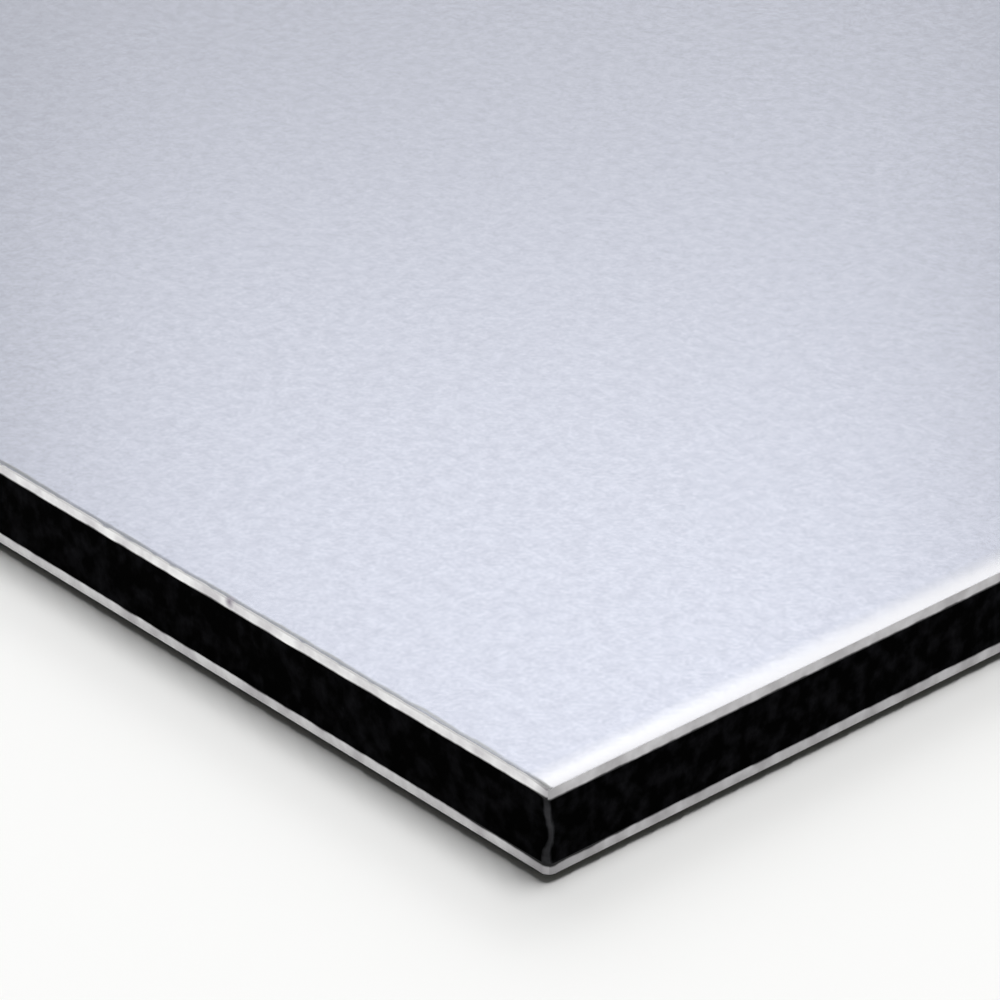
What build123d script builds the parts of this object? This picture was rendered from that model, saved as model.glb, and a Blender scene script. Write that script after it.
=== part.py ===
from build123d import *
import math
import os

# Aluminium composite panel, one stock sheet: two aluminium skins bonded to a black polyethylene core.
# Millimetres. X runs along the coil direction, Y across the coil, Z through the thickness.
# The origin is the middle of the underside, so the sheet lies on Z = 0.

# Stock sheet
sheet_length = 2440.0
sheet_width = 1220.0

# Layers, from the underside up
back_skin_thickness = 0.5
core_thickness = 3.0
face_skin_thickness = 0.5

# Die roll: before the guillotine cuts through, it draws the face down over this last stretch of both ends
roll_width = 1.4
roll_drop = 0.12

# Slit long sides: the slitter's knives press the face down to this angle, and a small arris ends it
side_roll_width = 0.3
side_roll_angle = 8.0
side_arris_radius = 0.12

# The four corners are worn rounder in plan from the face down
face_corner_radius = 0.15
core_corner_radius = 0.3
back_corner_radius = 0.4

# Heights that the layers share
core_bottom = back_skin_thickness
core_top = core_bottom + core_thickness
face_top = core_top + face_skin_thickness

# Radius of the drawn-down face: an arc tangent to the flat that falls by roll_drop over roll_width
roll_radius = (roll_width**2 + roll_drop**2) / (2 * roll_drop)


def plan_block(bottom, top, corner_radius):
    """A slab of the sheet's outline in plan, with its eased corners, between two heights."""
    with BuildPart() as block:
        with BuildSketch(Plane.XY.offset(bottom)):
            RectangleRounded(sheet_length, sheet_width, corner_radius)
        extrude(amount=top - bottom)
    return block.part


def rolled_block(top, bend_radius):
    """A block from the underside up to a height, with both ends of its upper side drawn down.

    The arcs of all the layers share their centres, so a skin keeps its thickness round the roll
    and the core follows it without a gap.
    """
    half_length = sheet_length / 2
    flat_end = half_length - roll_width
    bend_centre = top - bend_radius
    bend_angle = math.degrees(math.asin(roll_width / bend_radius))
    with BuildPart() as block:
        with BuildSketch(Plane.XZ):
            with BuildLine():
                right_roll = CenterArc((flat_end, bend_centre), bend_radius, 90, -bend_angle)
                left_roll = CenterArc((-flat_end, bend_centre), bend_radius, 90, bend_angle)
                Line(left_roll @ 0, right_roll @ 0)
                Polyline(right_roll @ 1, (half_length, 0), (-half_length, 0), left_roll @ 1)
            make_face()
        extrude(amount=sheet_width / 2, both=True)
    return block.part


def slit_block():
    """A block from the underside up to the face, with the slitter's roll and arris along its long sides.

    On each side a wide arc, tangent to the flat, turns down to side_roll_angle. There the arris takes
    over and turns on to the upright side, tangent to both.
    """
    half_width = sheet_width / 2
    flat_edge = half_width - side_roll_width
    angle = math.radians(side_roll_angle)
    wide_radius = (side_roll_width - side_arris_radius * (1 - math.sin(angle))) / math.sin(angle)
    wide_centre = face_top - wide_radius
    arris_offset = (wide_radius - side_arris_radius) * math.sin(angle)
    arris_centre = wide_centre + (wide_radius - side_arris_radius) * math.cos(angle)
    with BuildPart() as block:
        with BuildSketch(Plane.YZ):
            with BuildLine():
                far_roll = CenterArc((flat_edge, wide_centre), wide_radius, 90, -side_roll_angle)
                far_arris = CenterArc(
                    (flat_edge + arris_offset, arris_centre), side_arris_radius,
                    90 - side_roll_angle, side_roll_angle - 90,
                )
                near_roll = CenterArc((-flat_edge, wide_centre), wide_radius, 90, side_roll_angle)
                near_arris = CenterArc(
                    (-flat_edge - arris_offset, arris_centre), side_arris_radius,
                    90 + side_roll_angle, 90 - side_roll_angle,
                )
                Line(near_roll @ 0, far_roll @ 0)
                Polyline(far_arris @ 1, (half_width, 0), (-half_width, 0), near_arris @ 1)
            make_face()
        extrude(amount=sheet_length / 2, both=True)
    return block.part


def make_face_skin():
    outer = rolled_block(face_top, roll_radius) & slit_block()
    inner = rolled_block(core_top, roll_radius - face_skin_thickness)
    return plan_block(core_bottom, face_top, face_corner_radius) & (outer - inner)


def make_core():
    under_the_face = rolled_block(core_top, roll_radius - face_skin_thickness)
    return plan_block(core_bottom, core_top, core_corner_radius) & under_the_face


def make_back_skin():
    return plan_block(0, back_skin_thickness, back_corner_radius)


def write_piece(name, shape):
    shape.label = name
    export_step(shape, os.path.join("parts", name + ".step"))


os.makedirs("parts", exist_ok=True)
write_piece("face_skin", make_face_skin())
write_piece("core", make_core())
write_piece("back_skin", make_back_skin())
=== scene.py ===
from math import cos, pi, radians, sin, sqrt

import bmesh
import bpy
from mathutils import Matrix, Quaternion, Vector


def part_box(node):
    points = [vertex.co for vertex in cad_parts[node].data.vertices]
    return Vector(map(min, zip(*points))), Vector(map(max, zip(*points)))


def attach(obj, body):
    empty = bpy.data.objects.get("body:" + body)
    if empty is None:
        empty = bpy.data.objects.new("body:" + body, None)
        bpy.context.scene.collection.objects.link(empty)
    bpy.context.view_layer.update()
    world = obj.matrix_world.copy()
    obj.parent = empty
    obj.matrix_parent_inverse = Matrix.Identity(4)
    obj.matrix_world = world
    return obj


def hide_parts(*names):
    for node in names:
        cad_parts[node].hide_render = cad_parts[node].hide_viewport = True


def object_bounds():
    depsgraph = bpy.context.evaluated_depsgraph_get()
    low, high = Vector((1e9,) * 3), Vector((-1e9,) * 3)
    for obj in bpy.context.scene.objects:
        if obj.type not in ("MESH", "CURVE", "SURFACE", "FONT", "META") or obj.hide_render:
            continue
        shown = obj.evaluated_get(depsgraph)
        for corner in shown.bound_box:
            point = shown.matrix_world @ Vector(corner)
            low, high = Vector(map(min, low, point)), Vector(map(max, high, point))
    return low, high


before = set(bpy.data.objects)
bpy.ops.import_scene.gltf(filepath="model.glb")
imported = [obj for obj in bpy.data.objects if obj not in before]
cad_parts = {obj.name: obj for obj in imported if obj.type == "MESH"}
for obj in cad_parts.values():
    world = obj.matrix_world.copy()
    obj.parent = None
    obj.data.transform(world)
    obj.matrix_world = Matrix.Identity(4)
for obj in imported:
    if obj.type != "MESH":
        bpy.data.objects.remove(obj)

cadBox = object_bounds()
mm = 0.001

# the sheet as packed: half its length and width, and the height of each layer
halfLength, halfWidth = cadBox[1].x, cadBox[1].y
underside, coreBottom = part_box("back_skin")[0].z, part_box("core")[0].z
coreTop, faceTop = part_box("core")[1].z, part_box("face_skin")[1].z
print("sheet", halfLength * 2, halfWidth * 2, "layers", underside, coreBottom, coreTop, faceTop)


def fromHex(text):
    # an sRGB hex colour as the linear values that the nodes take
    channels = [int(text[i:i + 2], 16) / 255 for i in (1, 3, 5)]
    linear = [c / 12.92 if c <= 0.04045 else ((c + 0.055) / 1.055) ** 2.4 for c in channels]
    return (*linear, 1.0)


def perMetre(sizeInMm):
    # a noise scale that gives blotches of about this size on Object coordinates
    return 1 / (sizeInMm * mm)


def addNode(tree, kind, inputs=None, **settings):
    # one node with its settings; an input is a value, or the socket that feeds it
    node = tree.nodes.new("ShaderNode" + kind)
    for name, value in settings.items():
        setattr(node, name, value)
    for socket, value in (inputs or {}).items():
        if isinstance(value, bpy.types.NodeSocket):
            tree.links.new(value, node.inputs[socket])
        else:
            node.inputs[socket].default_value = value
    return node


def newMaterial(name):
    material = bpy.data.materials.new(name)
    material.use_nodes = True
    tree = material.node_tree
    tree.nodes.clear()
    return material, tree


# camera: the photograph's macro view of the corner at the right-hand end of the front long side
photoView = {
    "azimuth": 48.58,
    "elevation": 28.45,
    "roll": -0.33,
    "lens": 158.7,  # mm, on a full-frame sensor
    "sensor": 36,
    "fromCorner": (104.50 * mm, -94.53 * mm, 92.70 * mm),
    "clip": (0.01, 500),  # metres, far enough for the whole floor
}


def addCamera(view):
    azimuth, elevation = radians(view["azimuth"]), radians(view["elevation"])
    back = Vector((sin(azimuth) * cos(elevation), -cos(azimuth) * cos(elevation), sin(elevation)))
    data = bpy.data.cameras.new("camera")
    data.sensor_width = view["sensor"]
    data.lens = view["lens"]
    data.clip_start, data.clip_end = view["clip"]
    camera = bpy.data.objects.new("camera", data)
    camera.location = Vector((halfLength, -halfWidth, underside)) + Vector(view["fromCorner"])
    camera.rotation_mode = "QUATERNION"
    level = (-back).to_track_quat("-Z", "Y")
    camera.rotation_quaternion = level @ Quaternion((0, 0, 1), radians(view["roll"]))
    bpy.context.scene.collection.objects.link(camera)
    bpy.context.scene.camera = camera


addCamera(photoView)
print("camera placed")


# edges: what the slitter and the guillotine left, as in the solids
edges = {
    "rollWidth": 1.4 * mm,  # the guillotine draws the face down over this last stretch of each end
    "rollDrop": 0.12 * mm,
    "rollSteps": 14,
    "sideRollWidth": 0.3 * mm,  # the slitter presses the face down along the long sides
    "sideRollAngle": radians(8),
    "sideRollCuts": 3,
    "sideArris": 0.12 * mm,
    "sideArrisCuts": 6,
    "endArris": 0.02 * mm,  # the sheared ends stay nearly sharp
    "endArrisCuts": 2,
    "faceCorner": 0.15 * mm,  # the corners are worn rounder in plan from the face down to the back
    "backCorner": 0.4 * mm,
    "cornerCuts": 9,
    "sharpAngle": radians(24),  # edges that turn more than this stay crisp
    "onPlane": 1e-9,  # a vertex this close to a cut counts as on it
    "sameSpot": 1e-7,  # and vertices this close together become one
}
rollRadius = (edges["rollWidth"] ** 2 + edges["rollDrop"] ** 2) / (2 * edges["rollDrop"])
flatEnd = halfLength - edges["rollWidth"]
rollCentre = faceTop - rollRadius
ends = (-1, 1)


def planeOff(bm, point, outward):
    # cuts away what lies past a plane and closes the cut with a flat face
    geometry = bm.verts[:] + bm.edges[:] + bm.faces[:]
    cut = bmesh.ops.bisect_plane(
        bm, geom=geometry, dist=edges["onPlane"], plane_co=point, plane_no=outward, clear_outer=True
    )
    rim = [item for item in cut["geom_cut"] if isinstance(item, bmesh.types.BMEdge)]
    bmesh.ops.edgeloop_fill(bm, edges=rim)


def roundOff(bm, centre, across, radius, first, last, cuts):
    # rounds an edge by cuts at even angles, counted from across up to the vertical
    for i in range(cuts):
        angle = first + (last - first) * (i + 0.5) / cuts
        outward = across * cos(angle) + Vector((0, 0, sin(angle)))
        planeOff(bm, centre + outward * radius, outward)


def easeCorners(bm):
    # each cut leans, because the round grows from the face to the back
    growth = (edges["faceCorner"] - edges["backCorner"]) / (faceTop - underside)
    for x in ends:
        for y in ends:
            corner = Vector((x * halfLength, y * halfWidth, underside))
            for i in range(edges["cornerCuts"]):
                angle = (i + 0.5) / edges["cornerCuts"] * pi / 2
                outward = Vector((x * cos(angle), y * sin(angle), 0))
                reach = cos(angle) + sin(angle) - 1
                leaning = outward + Vector((0, 0, reach * growth))
                planeOff(bm, corner - outward * reach * edges["backCorner"], leaning.normalized())


def easeFaceArrises(bm):
    # on the long sides a wide arc turns down to the roll's angle, and the arris takes over from there
    turn, arris, end = edges["sideRollAngle"], edges["sideArris"], edges["endArris"]
    wide = (edges["sideRollWidth"] - arris * (1 - sin(turn))) / sin(turn)
    flatEdge = halfWidth - edges["sideRollWidth"]
    for sign in ends:
        side = Vector((0, sign, 0))
        centre = side * flatEdge + Vector((0, 0, faceTop - wide))
        roundOff(bm, centre, side, wide, pi / 2 - turn, pi / 2, edges["sideRollCuts"])
        centre += (side * sin(turn) + Vector((0, 0, cos(turn)))) * (wide - arris)
        roundOff(bm, centre, side, arris, 0, pi / 2 - turn, edges["sideArrisCuts"])
        endCentre = Vector((sign * (halfLength - end), 0, faceTop - end))
        roundOff(bm, endCentre, Vector((sign, 0, 0)), end, 0, pi / 2, edges["endArrisCuts"])


def drawDownEnds(bm, keep):
    # bends both ends down round the guillotine's draw; vertices at or below keep stay where they are
    for sign in ends:
        for i in range(edges["rollSteps"]):
            x = sign * (flatEnd + edges["rollWidth"] * i / edges["rollSteps"])
            geometry = bm.verts[:] + bm.edges[:] + bm.faces[:]
            bmesh.ops.bisect_plane(
                bm, geom=geometry, dist=edges["onPlane"], plane_co=(x, 0, 0), plane_no=(1, 0, 0)
            )
    for vertex in bm.verts:
        along = abs(vertex.co.x) - flatEnd
        if along > 0 and vertex.co.z > keep:
            vertex.co.z = rollCentre + sqrt((vertex.co.z - rollCentre) ** 2 - along ** 2)


def slab(bottom, top):
    bm = bmesh.new()
    bmesh.ops.create_cube(bm, size=1)
    bmesh.ops.scale(bm, vec=(2 * halfLength, 2 * halfWidth, top - bottom), verts=bm.verts)
    bmesh.ops.translate(bm, vec=(0, 0, (top + bottom) / 2), verts=bm.verts)
    return bm


def asPiece(bm, name, node, materials, pick):
    # a finished mesh that stands for a CAD node; pick chooses each face's material from its normal
    bmesh.ops.remove_doubles(bm, verts=bm.verts, dist=edges["sameSpot"])
    bmesh.ops.recalc_face_normals(bm, faces=bm.faces)
    for face in bm.faces:
        face.smooth = True
        face.material_index = pick(face.normal)
    mesh = bpy.data.meshes.new(name)
    bm.to_mesh(mesh)
    bm.free()
    for material in materials:
        mesh.materials.append(material)
    mesh.set_sharp_from_angle(angle=edges["sharpAngle"])
    piece = bpy.data.objects.new(name, mesh)
    bpy.context.scene.collection.objects.link(piece)
    # the flats keep their own normals and the small rounds take up the turn
    weighted = piece.modifiers.new("flatsStayFlat", "WEIGHTED_NORMAL")
    weighted.keep_sharp = True
    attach(piece, "root")
    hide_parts(node)
    print(name, len(mesh.polygons), "faces")


# silver metallic fluorocarbon coil coat: aluminium flake in a clear binder, roller coated and baked.
# The eye sees a soft lilac-grey sheen that follows the light, with a fine sandy speckle from the flake.
silverCoat = {
    "light": "#A7AAB5",
    "dark": "#999CA7",
    "dull": "#979AA5",  # the darkest of the faint streaks
    "metallic": 0.9,
    "roughness": 0.24,
    "flake": 0.2,  # mm, single flakes are under 0.05 and are drawn coarser so that they show
    "flakeDetail": 0.0,
    "cloud": 0.65,  # mm, where the flake lies thicker or thinner
    "cloudDetail": 1.0,
    "cloudShare": 0.58,
    "speckleFrom": 0.3,  # the stretch of the noise over which the coat goes from dark to light
    "speckleTo": 0.7,
    "streak": (900.0, 36.0),  # mm along and across the coil, left by the coating rollers
    "streakDetail": 0.0,
    "streakFrom": 0.35,
    "streakTo": 0.65,
    "streakShare": 0.2,
    "peel": 1.3,  # mm, the roller's orange peel
    "peelDetail": 1.0,
    "peelHeight": 0.0004 * mm,
    "wave": 260.0,  # mm, the sheet's own gentle waves, a few hundredths high
    "waveDetail": 1.0,
    "waveHeight": 0.06 * mm,
    "highlightTint": "#A0A0A2",  # over the guillotine's draw the coat is painted a neutral grey: painted highlight, so that the roll's bright band reads white
    "highlightOver": 1.0 * mm,
    "highlightShare": 0.9,
    "arrisShade": "#75766F",  # a broken line of painted shade just inside the arris, where the face turns down
    "arrisShadeShare": 0.6,
    "arrisShadeInset": 0.17 * mm,
    "arrisShadeWaver": 0.4 * mm,
    "arrisShadeEvery": 3.2,  # mm
    "arrisShadeDetail": 2.0,
    "arrisShadeFrom": 0.4,  # it is full where it strays furthest in, and weakest beside the arris
    "arrisShadeTo": 0.65,
    "arrisShadeWeakest": 0.2,
    "arrisShadeHalfWidth": 0.02 * mm,
    "arrisShadeFade": 0.12 * mm,
    "wearAndHighlight": "#D8D8D9",  # the slitter's knife takes the coat off the arris
    "rubbedRoughness": 0.4,
    "rubbedFrom": 0.2,  # from this much of a turn sideways
    "rubbedFade": 0.3,
    "rubbedPatch": 0.7,  # mm
    "rubbedDetail": 3.0,
    "rubbedUneven": 2.4,
    "handled": "#9A989B",  # at a corner, handling dulls what is bare
    "handledFrom": 0.2 * mm,
    "handledTo": 0.9 * mm,
}
# a knock on the front edge, near the corner in the photograph: the metal there is bruised a dull mauve grey
nick = {
    "place": (halfLength - 19.3 * mm, -halfWidth, faceTop - 0.12 * mm),
    "radius": 0.34 * mm,
    "fade": 0.32 * mm,
    "colour": "#978F9B",
}


def addNick(tree, place, colour, look):
    # the given colour with the nick's over it
    distance = addNode(tree, "VectorMath", {0: place, 1: look["place"]}, operation="DISTANCE")
    inside = addNode(tree, "MapRange", {
        "Value": distance.outputs["Value"], "From Min": look["radius"] - look["fade"],
        "From Max": look["radius"], "To Min": 1.0, "To Max": 0.0,
    })
    return addNode(tree, "Mix", {
        0: inside.outputs["Result"], 6: colour, 7: fromHex(look["colour"]),
    }, data_type="RGBA").outputs[2]


def addToCorner(tree, here):
    # how far a point on the sheet's sides lies from the nearest corner
    alongX = addNode(tree, "Math", {0: here.outputs["X"]}, operation="ABSOLUTE")
    alongY = addNode(tree, "Math", {0: here.outputs["Y"]}, operation="ABSOLUTE")
    outwards = addNode(tree, "Math", {0: alongX.outputs[0], 1: alongY.outputs[0]}, operation="ADD")
    return addNode(tree, "Math", {
        0: halfLength + halfWidth, 1: outwards.outputs[0],
    }, operation="SUBTRACT").outputs[0]


def makeSilverCoat(look):
    material, tree = newMaterial("silverCoilCoat")
    place = addNode(tree, "TexCoord").outputs["Object"]
    flake = addNode(tree, "TexNoise", {
        "Vector": place, "Scale": perMetre(look["flake"]), "Detail": look["flakeDetail"],
    })
    clouds = addNode(tree, "TexNoise", {
        "Vector": place, "Scale": perMetre(look["cloud"]), "Detail": look["cloudDetail"],
    })
    along, across = (perMetre(size) for size in look["streak"])
    drawn = addNode(tree, "Mapping", {"Vector": place, "Scale": (along, across, 1)})
    streaks = addNode(tree, "TexNoise", {
        "Vector": drawn.outputs["Vector"], "Scale": 1.0, "Detail": look["streakDetail"],
    })
    cloudy = addNode(tree, "Mix", {
        0: look["cloudShare"], 2: flake.outputs["Fac"], 3: clouds.outputs["Fac"],
    }, data_type="FLOAT")
    speckle = addNode(tree, "MapRange", {
        "Value": cloudy.outputs[0], "From Min": look["speckleFrom"], "From Max": look["speckleTo"],
        "To Min": 0.0, "To Max": 1.0,
    })
    flakes = addNode(tree, "Mix", {
        0: speckle.outputs["Result"], 6: fromHex(look["dark"]), 7: fromHex(look["light"]),
    }, data_type="RGBA")
    faint = addNode(tree, "MapRange", {
        "Value": streaks.outputs["Fac"], "From Min": look["streakFrom"], "From Max": look["streakTo"],
        "To Min": 0.0, "To Max": look["streakShare"],
    })
    silver = addNode(tree, "Mix", {
        0: faint.outputs["Result"], 6: flakes.outputs[2], 7: fromHex(look["dull"]),
    }, data_type="RGBA")

    # over the guillotine's draw the coat turns neutral grey: painted highlight that makes the roll's bright
    # band read white
    here = addNode(tree, "SeparateXYZ", {"Vector": place})
    endways = addNode(tree, "Math", {0: here.outputs["X"]}, operation="ABSOLUTE")
    highlightBand = addNode(tree, "MapRange", {
        "Value": endways.outputs[0], "From Min": flatEnd, "From Max": flatEnd + look["highlightOver"],
        "To Min": 0.0, "To Max": look["highlightShare"],
    })
    coatWithHighlight = addNode(tree, "Mix", {
        0: highlightBand.outputs["Result"], 6: silver.outputs[2], 7: fromHex(look["highlightTint"]),
    }, data_type="RGBA")

    # inside the arris of the long sides runs a wavering, broken line of painted shade, where the face turns
    # down
    sideways = addNode(tree, "Math", {0: here.outputs["Y"]}, operation="ABSOLUTE")
    waver = addNode(tree, "TexNoise", {
        "Vector": place, "Scale": perMetre(look["arrisShadeEvery"]), "Detail": look["arrisShadeDetail"],
    })
    route = addNode(tree, "Math", {
        0: waver.outputs["Fac"], 1: look["arrisShadeWaver"],
        2: halfWidth - look["arrisShadeInset"] - look["arrisShadeWaver"] / 2,
    }, operation="MULTIPLY_ADD")
    aside = addNode(tree, "Math", {0: sideways.outputs[0], 1: route.outputs[0]}, operation="SUBTRACT")
    offRoute = addNode(tree, "Math", {0: aside.outputs[0]}, operation="ABSOLUTE")
    shadeAcross = addNode(tree, "MapRange", {
        "Value": offRoute.outputs[0], "From Min": look["arrisShadeHalfWidth"],
        "From Max": look["arrisShadeHalfWidth"] + look["arrisShadeFade"],
        "To Min": look["arrisShadeShare"], "To Max": 0.0,
    })
    broken = addNode(tree, "MapRange", {
        "Value": waver.outputs["Fac"], "From Min": look["arrisShadeFrom"], "From Max": look["arrisShadeTo"],
        "To Min": 1.0, "To Max": look["arrisShadeWeakest"],
    })
    shadeStrength = addNode(tree, "Math", {
        0: shadeAcross.outputs["Result"], 1: broken.outputs["Result"],
    }, operation="MULTIPLY")
    arrisShade = addNode(tree, "Mix", {
        0: shadeStrength.outputs[0], 6: coatWithHighlight.outputs[2], 7: fromHex(look["arrisShade"]),
    }, data_type="RGBA")

    # along the long sides the coat ends unevenly on the arris, where the surface turns away from the face
    normal = addNode(tree, "NewGeometry").outputs["Normal"]
    slope = addNode(tree, "SeparateXYZ", {"Vector": normal})
    turnedAside = addNode(tree, "Math", {0: slope.outputs["Y"]}, operation="ABSOLUTE")
    patches = addNode(tree, "TexNoise", {
        "Vector": place, "Scale": perMetre(look["rubbedPatch"]), "Detail": look["rubbedDetail"],
    })
    uneven = addNode(tree, "Math", {
        0: patches.outputs["Fac"], 1: look["rubbedUneven"], 2: 1 - look["rubbedUneven"] / 2,
    }, operation="MULTIPLY_ADD")
    turned = addNode(tree, "Math", {0: turnedAside.outputs[0], 1: uneven.outputs[0]}, operation="MULTIPLY")
    wearAndHighlight = addNode(tree, "MapRange", {
        "Value": turned.outputs[0], "From Min": look["rubbedFrom"],
        "From Max": look["rubbedFrom"] + look["rubbedFade"], "To Min": 0.0, "To Max": 1.0,
    })
    handled = addNode(tree, "MapRange", {
        "Value": addToCorner(tree, here), "From Min": look["handledFrom"], "From Max": look["handledTo"],
        "To Min": 1.0, "To Max": 0.0,
    })
    bare = addNode(tree, "Mix", {
        0: handled.outputs["Result"], 6: fromHex(look["wearAndHighlight"]), 7: fromHex(look["handled"]),
    }, data_type="RGBA")
    worn = addNode(tree, "Mix", {
        0: wearAndHighlight.outputs["Result"], 6: arrisShade.outputs[2], 7: bare.outputs[2],
    }, data_type="RGBA")
    roughness = addNode(tree, "Mix", {
        0: wearAndHighlight.outputs["Result"], 2: look["roughness"], 3: look["rubbedRoughness"],
    }, data_type="FLOAT")

    peel = addNode(tree, "TexNoise", {
        "Vector": place, "Scale": perMetre(look["peel"]), "Detail": look["peelDetail"],
    })
    waves = addNode(tree, "TexNoise", {
        "Vector": place, "Scale": perMetre(look["wave"]), "Detail": look["waveDetail"],
    })
    waveBump = addNode(tree, "Bump", {"Height": waves.outputs["Fac"], "Distance": look["waveHeight"]})
    peelBump = addNode(tree, "Bump", {
        "Height": peel.outputs["Fac"], "Distance": look["peelHeight"], "Normal": waveBump.outputs["Normal"],
    })
    shader = addNode(tree, "BsdfPrincipled", {
        "Base Color": addNick(tree, place, worn.outputs[2], nick),
        "Metallic": look["metallic"],
        "Roughness": roughness.outputs[0],
        "Normal": peelBump.outputs["Normal"],
    })
    addNode(tree, "OutputMaterial", {"Surface": shader.outputs["BSDF"]})
    return material


# bare aluminium, freshly cut: bright, a little cloudy, with fine marks down the thickness from the blade.
# The blade drags a ragged film of the black core over the skins' inner borders. Handling dulls the corners.
cutMetal = {
    "base": "#FBFBFB",
    "dull": "#DAD8DA",
    "roughness": 0.5,
    "patch": 1.3,  # mm
    "mark": 0.09,  # mm
    "markHeight": 0.002 * mm,
    "setDown": 0.0,
    "handled": "#B2B0B3",
}
shearedMetal = {
    "base": "#CCCBCD",
    "dull": "#B0AEB0",
    "roughness": 0.45,
    "patch": 1.1,  # mm
    "mark": 0.12,  # mm
    "markHeight": 0.003 * mm,
    "setDown": 0.1 * mm,  # the die roll sets the face skin lower at the ends
    "handled": "#A4A3A5",
}
dragged = {
    "colour": "#2E2E2F",
    "reach": 0.045 * mm,  # past the core, on average
    "ragged": 0.16 * mm,
    "fade": 0.08 * mm,
    "atCorner": 0.1 * mm,  # and this much further over the back skin at a corner
    "cornerReach": 6.0 * mm,
}
handledReach = {"face": 0.6 * mm, "back": 3.2 * mm}  # from a corner, at the top and at the underside
cutTexture = {
    "markLength": 0.15,  # squeezed this much upright, the marks come out about seven times as long
    "markDetail": 2.0,
    "patchDetail": 3.0,
    "patchFrom": 0.35,
    "patchTo": 0.65,
}


def makeCutMetal(name, look):
    material, tree = newMaterial(name)
    place = addNode(tree, "TexCoord").outputs["Object"]
    upright = addNode(tree, "Mapping", {"Vector": place, "Scale": (1, 1, cutTexture["markLength"])})
    marks = addNode(tree, "TexNoise", {
        "Vector": upright.outputs["Vector"], "Scale": perMetre(look["mark"]),
        "Detail": cutTexture["markDetail"],
    })
    bump = addNode(tree, "Bump", {"Height": marks.outputs["Fac"], "Distance": look["markHeight"]})
    patches = addNode(tree, "TexNoise", {
        "Vector": place, "Scale": perMetre(look["patch"]), "Detail": cutTexture["patchDetail"],
    })
    bright = addNode(tree, "MapRange", {
        "Value": patches.outputs["Fac"], "From Min": cutTexture["patchFrom"],
        "From Max": cutTexture["patchTo"], "To Min": 0.0, "To Max": 1.0,
    })
    colour = addNode(tree, "Mix", {
        0: bright.outputs["Result"], 6: fromHex(look["dull"]), 7: fromHex(look["base"]),
    }, data_type="RGBA")

    here = addNode(tree, "SeparateXYZ", {"Vector": place})
    toCorner = addToCorner(tree, here)
    handling = addNode(tree, "MapRange", {
        "Value": here.outputs["Z"], "From Min": underside, "From Max": faceTop,
        "To Min": handledReach["back"], "To Max": handledReach["face"],
    })
    handled = addNode(tree, "MapRange", {
        "Value": toCorner, "From Min": 0.0, "From Max": handling.outputs["Result"],
        "To Min": 1.0, "To Max": 0.0,
    })
    dulled = addNode(tree, "Mix", {
        0: handled.outputs["Result"], 6: colour.outputs[2], 7: fromHex(look["handled"]),
    }, data_type="RGBA")

    # how far it lies from the core, which is where the dragged film starts
    grown = addNode(tree, "MapRange", {
        "Value": toCorner, "From Min": 0.0, "From Max": dragged["cornerReach"],
        "To Min": coreBottom - dragged["atCorner"], "To Max": coreBottom,
    })
    below = addNode(tree, "Math", {0: grown.outputs["Result"], 1: here.outputs["Z"]}, operation="SUBTRACT")
    above = addNode(tree, "Math", {0: here.outputs["Z"], 1: coreTop - look["setDown"]}, operation="SUBTRACT")
    past = addNode(tree, "Math", {0: below.outputs[0], 1: above.outputs[0]}, operation="MAXIMUM")
    ragged = addNode(tree, "Math", {
        0: patches.outputs["Fac"], 1: dragged["ragged"], 2: past.outputs[0],
    }, operation="MULTIPLY_ADD")
    edge = dragged["reach"] + dragged["ragged"] / 2
    film = addNode(tree, "MapRange", {
        "Value": ragged.outputs[0], "From Min": edge - dragged["fade"] / 2,
        "From Max": edge + dragged["fade"] / 2, "To Min": 1.0, "To Max": 0.0,
    })
    soiled = addNode(tree, "Mix", {
        0: film.outputs["Result"], 6: dulled.outputs[2], 7: fromHex(dragged["colour"]),
    }, data_type="RGBA")
    shader = addNode(tree, "BsdfPrincipled", {
        "Base Color": addNick(tree, place, soiled.outputs[2], nick),
        "Metallic": 1.0,
        "Roughness": look["roughness"],
        "Normal": bump.outputs["Normal"],
    })
    addNode(tree, "OutputMaterial", {"Surface": shader.outputs["BSDF"]})
    return material


# low-density polyethylene, coloured with carbon black: a deep, slightly waxy black that the cut leaves dull.
# At the vertical corners a narrow wandering grey stripe is painted highlight, where the rounded corner
# catches the light.
blackCore = {
    "base": "#020202",
    "smear": "#1C1C1F",
    "blotch": 0.8,  # mm
    "blotchDetail": 3.0,
    "smearFrom": 0.45,  # the stretch of the blotches over which the smear comes in
    "smearTo": 0.85,
    "roughness": 0.6,
    "specular": 0.003,  # the torn cut scatters nearly all of its gloss
    "mark": 0.25,  # mm
    "markLength": 0.4,  # squeezed this much upright, the marks come out two and a half times as long
    "markDetail": 3.0,
    "markHeight": 0.01 * mm,
    # the grey of the painted highlight down each vertical corner
    "cornerHighlight": "#454548",
    "cornerHighlightFrom": 0.35,  # full on the blotches and fainter between them
    "cornerHighlightTo": 0.6,
    "cornerHighlightWeakest": 0.55,
    "wander": 1.2,  # mm of height over which the stripe strays
    "wanderDetail": 1.0,
    "stray": 0.3 * mm,
    "sway": 0.1 * mm,  # on top of that it swings towards the end at mid-height, and back
    "swayHeight": 3.0 * mm,
    "swayFrom": 1.25 * mm,
    "stripe": 0.06 * mm,  # half its width
    "flare": 0.13 * mm,  # and how much wider it is at the foot
    "flareHeight": 1.1 * mm,
    "fray": 0.3 * mm,
    "fade": 0.16 * mm,
}


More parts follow.
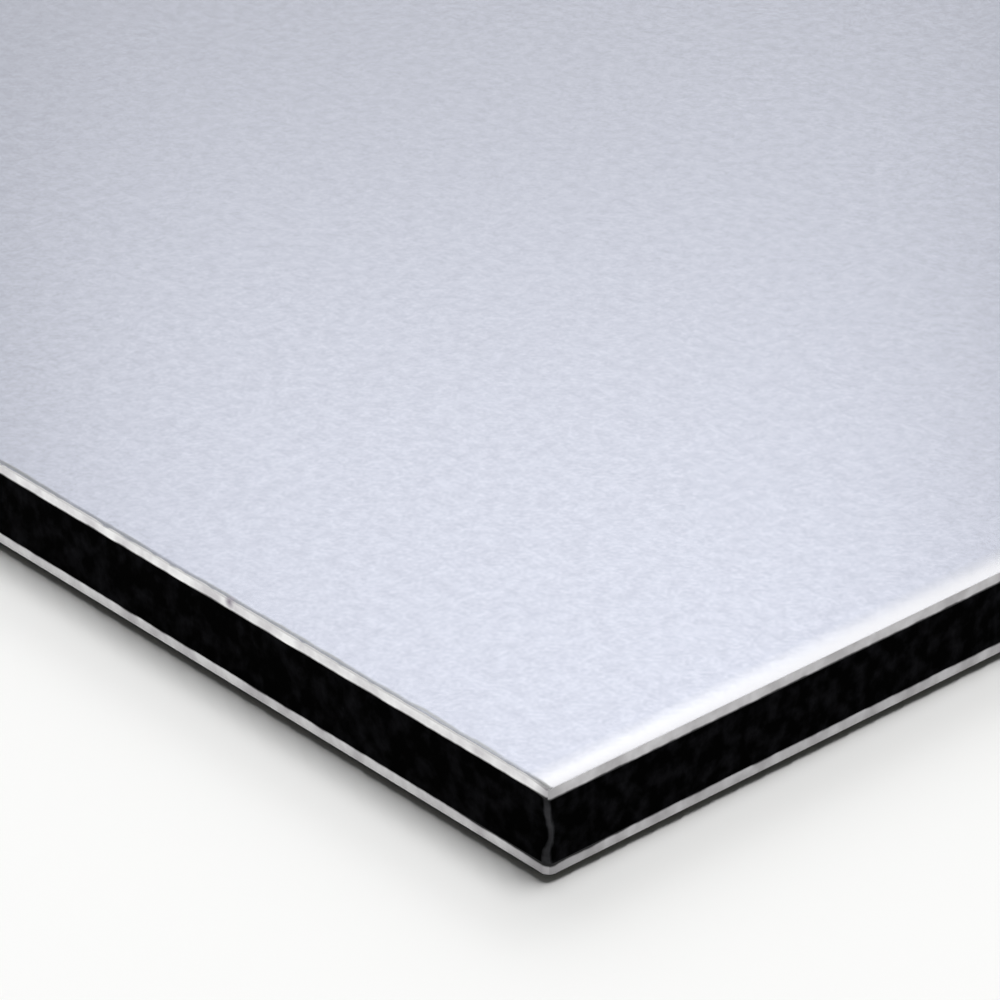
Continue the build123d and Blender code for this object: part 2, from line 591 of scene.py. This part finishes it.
def makeBlackCore(look):
    material, tree = newMaterial("blackPolyethylene")
    place = addNode(tree, "TexCoord").outputs["Object"]
    upright = addNode(tree, "Mapping", {"Vector": place, "Scale": (1, 1, look["markLength"])})
    marks = addNode(tree, "TexNoise", {
        "Vector": upright.outputs["Vector"], "Scale": perMetre(look["mark"]), "Detail": look["markDetail"],
    })
    bump = addNode(tree, "Bump", {"Height": marks.outputs["Fac"], "Distance": look["markHeight"]})
    blotches = addNode(tree, "TexNoise", {
        "Vector": place, "Scale": perMetre(look["blotch"]), "Detail": look["blotchDetail"],
    })

    # how far round the corner a point lies: below zero on the long side, above zero on the end
    here = addNode(tree, "SeparateXYZ", {"Vector": place})
    alongX = addNode(tree, "Math", {0: here.outputs["X"]}, operation="ABSOLUTE")
    alongY = addNode(tree, "Math", {0: here.outputs["Y"]}, operation="ABSOLUTE")
    difference = addNode(tree, "Math", {0: alongX.outputs[0], 1: alongY.outputs[0]}, operation="SUBTRACT")
    lateral = addNode(tree, "Math", {
        0: difference.outputs[0], 1: halfLength - halfWidth,
    }, operation="SUBTRACT")
    wander = addNode(tree, "TexNoise", {
        "Vector": place, "Scale": perMetre(look["wander"]), "Detail": look["wanderDetail"],
    })
    strayed = addNode(tree, "Math", {
        0: wander.outputs["Fac"], 1: look["stray"], 2: -look["stray"] / 2,
    }, operation="MULTIPLY_ADD")
    turn = 2 * pi / look["swayHeight"]
    phase = addNode(tree, "Math", {
        0: here.outputs["Z"], 1: turn, 2: -turn * look["swayFrom"],
    }, operation="MULTIPLY_ADD")
    swung = addNode(tree, "Math", {0: phase.outputs[0]}, operation="SINE")
    middle = addNode(tree, "Math", {
        0: swung.outputs[0], 1: look["sway"], 2: strayed.outputs[0],
    }, operation="MULTIPLY_ADD")
    away = addNode(tree, "Math", {0: lateral.outputs[0], 1: middle.outputs[0]}, operation="SUBTRACT")
    reach = addNode(tree, "Math", {0: away.outputs[0]}, operation="ABSOLUTE")
    flare = addNode(tree, "MapRange", {
        "Value": here.outputs["Z"], "From Min": coreBottom, "From Max": coreBottom + look["flareHeight"],
        "To Min": look["flare"], "To Max": 0.0,
    })
    narrowed = addNode(tree, "Math", {0: reach.outputs[0], 1: flare.outputs["Result"]}, operation="SUBTRACT")
    frayed = addNode(tree, "Math", {
        0: marks.outputs["Fac"], 1: look["fray"], 2: narrowed.outputs[0],
    }, operation="MULTIPLY_ADD")
    # the grey stripe is painted highlight down the vertical corner, fading at its borders
    highlightStripe = addNode(tree, "MapRange", {
        "Value": frayed.outputs[0], "From Min": look["stripe"] + look["fray"] / 2,
        "From Max": look["stripe"] + look["fray"] / 2 + look["fade"], "To Min": 1.0, "To Max": 0.0,
    })
    patchy = addNode(tree, "MapRange", {
        "Value": blotches.outputs["Fac"], "From Min": look["cornerHighlightFrom"], "From Max": look["cornerHighlightTo"],
        "To Min": look["cornerHighlightWeakest"], "To Max": 1.0,
    })
    wearAndHighlight = addNode(tree, "Math", {
        0: highlightStripe.outputs["Result"], 1: patchy.outputs["Result"],
    }, operation="MULTIPLY")
    smeared = addNode(tree, "MapRange", {
        "Value": blotches.outputs["Fac"], "From Min": look["smearFrom"], "From Max": look["smearTo"],
        "To Min": 0.0, "To Max": 1.0,
    })
    black = addNode(tree, "Mix", {
        0: smeared.outputs["Result"], 6: fromHex(look["base"]), 7: fromHex(look["smear"]),
    }, data_type="RGBA")
    colour = addNode(tree, "Mix", {
        0: wearAndHighlight.outputs[0], 6: black.outputs[2], 7: fromHex(look["cornerHighlight"]),
    }, data_type="RGBA")
    shader = addNode(tree, "BsdfPrincipled", {
        "Base Color": colour.outputs[2],
        "Roughness": look["roughness"],
        "Specular IOR Level": look["specular"],
        "Normal": bump.outputs["Normal"],
    })
    addNode(tree, "OutputMaterial", {"Surface": shader.outputs["BSDF"]})
    return material


# thin olive-grey primer that guards the back: matt and a little uneven, so the metal's grey shows through;
# its olive is darker than a primer's own, as painted shade that deepens the dark line in the gap under the
# sheet
serviceCoatAndShade = {
    "base": "#434539",
    "light": "#5E6055",
    "roughness": 0.85,
    "specular": 0.1,
    "cloud": (120.0, 16.0),  # mm along and across the coil
    "cloudDetail": 5.0,
}


def makeServiceCoatAndShade(look):
    material, tree = newMaterial("backServiceCoatAndShade")
    place = addNode(tree, "TexCoord").outputs["Object"]
    along, across = (perMetre(size) for size in look["cloud"])
    drawn = addNode(tree, "Mapping", {"Vector": place, "Scale": (along, across, 1)})
    clouds = addNode(tree, "TexNoise", {
        "Vector": drawn.outputs["Vector"], "Scale": 1.0, "Detail": look["cloudDetail"],
    })
    colour = addNode(tree, "Mix", {
        0: clouds.outputs["Fac"], 6: fromHex(look["base"]), 7: fromHex(look["light"]),
    }, data_type="RGBA")
    shader = addNode(tree, "BsdfPrincipled", {
        "Base Color": colour.outputs[2],
        "Roughness": look["roughness"],
        "Specular IOR Level": look["specular"],
    })
    addNode(tree, "OutputMaterial", {"Surface": shader.outputs["BSDF"]})
    return material


coat = makeSilverCoat(silverCoat)
slitMetal = makeCutMetal("slitAluminium", cutMetal)
shearMetal = makeCutMetal("shearedAluminium", shearedMetal)
polyethylene = makeBlackCore(blackCore)
backCoatAndShade = makeServiceCoatAndShade(serviceCoatAndShade)
skinMaterials = [coat, slitMetal, shearMetal, backCoatAndShade]
# how far a facet may lean and still be coated: the face's coat goes on round the long sides' arris,
# where its wear is drawn on it, but it ends before the ends' small one
facing = {"up": 0.35, "endways": 0.3, "down": -0.5}


def pickSkinMaterial(normal):
    # a skin is coated above, primed below, and bare where it was slit or sheared
    if normal.z > facing["up"] and abs(normal.x) < facing["endways"]:
        return skinMaterials.index(coat)
    if normal.z < facing["down"]:
        return skinMaterials.index(backCoatAndShade)
    if abs(normal.y) > abs(normal.x):
        return skinMaterials.index(slitMetal)
    return skinMaterials.index(shearMetal)


def makeFaceSkin():
    bm = slab(coreTop, faceTop)
    easeFaceArrises(bm)
    easeCorners(bm)
    drawDownEnds(bm, keep=0)
    asPiece(bm, "faceSkin", "face_skin", skinMaterials, pickSkinMaterial)


def makeCore():
    bm = slab(coreBottom, coreTop)
    easeCorners(bm)
    drawDownEnds(bm, keep=(coreBottom + coreTop) / 2)
    asPiece(bm, "blackCore", "core", [polyethylene], lambda normal: 0)


def makeBackSkin():
    bm = slab(underside, coreBottom)
    easeCorners(bm)
    asPiece(bm, "backSkin", "back_skin", skinMaterials, pickSkinMaterial)


makeFaceSkin()
makeCore()
makeBackSkin()


# studio: a white sweep under a big soft overhead light, a lit backdrop and two softboxes behind the sheet
studio = {
    "floorDrop": 0.42 * mm,  # so long a sheet is never dead flat, and this corner stands a hair off the floor
    "floorSize": 600,  # metres
    "floor": "#F6F6F5",
    "room": "#FFFFFF",
    "roomShown": 0.9,
    "roomLevel": 0.11,
    "backdropLevel": 1.58,
    "backdropTurn": 0,
    "backdropElevation": 40,
    "backdropInner": 15,  # degrees from its middle, where the backdrop begins to fall off, and where it ends
    "backdropOuter": 39,
}
softboxes = {
    # turn is counted in degrees from straight behind the corner, as the camera sees it, to the right
    "overhead": {"turn": 75, "elevation": 79, "size": (62, 62), "radiance": 8.75},
    "sheen": {"turn": 0, "elevation": 34.9, "size": (28, 42), "radiance": 1.45},
    "roll": {"turn": 14.6, "elevation": 41.3, "size": (30.2, 25.2), "radiance": 2.72},
}
softboxDistance = 120  # metres, far enough to light the floor evenly


def towards(turn, elevation):
    # a direction by compass: straight behind the sheet is opposite the camera
    compass = radians(photoView["azimuth"] - turn)
    level = cos(radians(elevation))
    return Vector((-sin(compass) * level, cos(compass) * level, sin(radians(elevation))))


def addFloor(look):
    material, tree = newMaterial("whiteSweep")
    shader = addNode(tree, "BsdfDiffuse", {"Color": fromHex(look["floor"])})
    addNode(tree, "OutputMaterial", {"Surface": shader.outputs["BSDF"]})
    bm = bmesh.new()
    bmesh.ops.create_grid(bm, x_segments=1, y_segments=1, size=look["floorSize"] / 2)
    bmesh.ops.translate(bm, vec=(0, 0, underside - look["floorDrop"]), verts=bm.verts)
    mesh = bpy.data.meshes.new("floor")
    bm.to_mesh(mesh)
    bm.free()
    mesh.materials.append(material)
    floor = bpy.data.objects.new("floor", mesh)
    bpy.context.scene.collection.objects.link(floor)


def addSoftbox(name, look):
    away = towards(look["turn"], look["elevation"])
    data = bpy.data.lights.new(name, "AREA")
    data.shape = "RECTANGLE"
    data.size, data.size_y = look["size"]
    data.energy = look["radiance"] * pi * data.size * data.size_y
    softbox = bpy.data.objects.new(name, data)
    softbox.location = Vector((halfLength, -halfWidth, faceTop)) + away * softboxDistance
    softbox.visible_camera = False
    softbox.rotation_mode = "QUATERNION"
    softbox.rotation_quaternion = (-away).to_track_quat("-Z", "Y")
    bpy.context.scene.collection.objects.link(softbox)
    return softbox


def lightRoom(look):
    world = bpy.data.worlds.new("room")
    world.use_nodes = True
    tree = world.node_tree
    tree.nodes.clear()
    backdrop = addNode(tree, "VectorMath", {
        0: addNode(tree, "TexCoord").outputs["Generated"],
        1: towards(look["backdropTurn"], look["backdropElevation"]),
    }, operation="DOT_PRODUCT")
    level = addNode(tree, "MapRange", {
        "Value": backdrop.outputs["Value"], "From Min": cos(radians(look["backdropOuter"])),
        "From Max": cos(radians(look["backdropInner"])),
        "To Min": look["roomLevel"], "To Max": look["backdropLevel"],
    })
    # what the camera, the metal and anything clear show is the plain pale backdrop
    path = addNode(tree, "LightPath").outputs
    seen = addNode(tree, "Math", {0: path["Is Camera Ray"], 1: path["Is Glossy Ray"]}, operation="MAXIMUM")
    shown = addNode(tree, "Math", {0: seen.outputs[0], 1: path["Is Transmission Ray"]}, operation="MAXIMUM")
    strength = addNode(tree, "Mix", {
        0: shown.outputs[0], 2: level.outputs["Result"], 3: look["roomShown"],
    }, data_type="FLOAT")
    glow = addNode(tree, "Background", {"Color": fromHex(look["room"]), "Strength": strength.outputs[0]})
    addNode(tree, "OutputWorld", {"Surface": glow.outputs["Background"]})
    bpy.context.scene.world = world


addFloor(studio)
lamps = {name: addSoftbox(name, look) for name, look in softboxes.items()}
# the overhead light is flagged off the metal, so that the face seen from above keeps its own grey
lamps["overhead"].visible_glossy = False
lightRoom(studio)
bpy.context.scene.view_settings.view_transform = "Standard"
print("studio lit")
